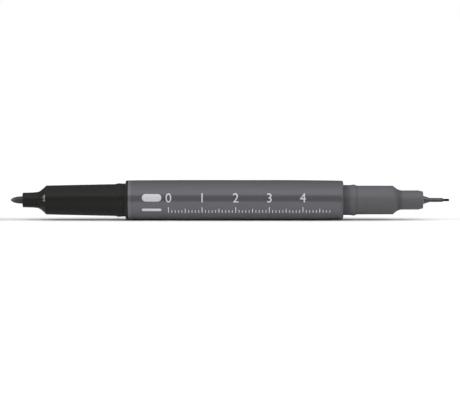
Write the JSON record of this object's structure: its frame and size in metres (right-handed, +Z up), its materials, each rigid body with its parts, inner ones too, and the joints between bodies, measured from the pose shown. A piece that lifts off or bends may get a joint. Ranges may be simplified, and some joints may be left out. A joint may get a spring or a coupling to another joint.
{
  "type": "twin-tip permanent marker",
  "caption": "Slim twin-tip permanent marker with a crowned barrel, a bullet nib, a fine nib in a steel ferrule, and push-on vented caps drawn off in line.",
  "frame": {"origin": "under the middle of the barrel, on the plane that the marker lies on", "axes": "+X along the marker towards the fine tip, -X towards the bullet tip, +Z up"},
  "size_m": [0.2212, 0.012, 0.012],
  "materials": {
    "barrel_lacquer": "smooth grey lacquer over moulded plastic",
    "black_plastic": "satin moulded",
    "grey_plastic": "satin moulded",
    "natural_plastic": "uncoloured, slightly waxy",
    "nib_fibre": "bonded fibre soaked with black ink",
    "fine_nib_core": "extruded, inked",
    "ferrule_steel": "drawn",
    "ink_fibre": "bonded fibre soaked with black ink",
    "wrap_film": "thin clear film",
    "black_cap": "smooth moulded",
    "grey_cap": "smooth moulded"
  },
  "bodies": {
    "marker": {"barrel": "barrel_lacquer", "bullet_section": "black_plastic", "bullet_nib": "nib_fibre", "fine_section": "grey_plastic", "fine_tip_bush": "natural_plastic", "fine_ferrule": "ferrule_steel", "fine_nib": "fine_nib_core", "reservoir_core": "ink_fibre", "reservoir_film": "wrap_film"},
    "bullet_cap": {"bullet_cap": "black_cap", "bullet_cap_liner": "natural_plastic"},
    "fine_cap": {"fine_cap": "grey_cap", "fine_cap_liner": "natural_plastic"}
  },
  "joints": [
    {"name": "bullet_cap_slide", "type": "slide", "parent": "marker", "child": "bullet_cap", "axis": [1, 0, 0], "range_m": [0, 0.04095]},
    {"name": "fine_cap_slide", "type": "slide", "parent": "marker", "child": "fine_cap", "axis": [-1, 0, 0], "range_m": [0, 0.0443]}
  ]
}
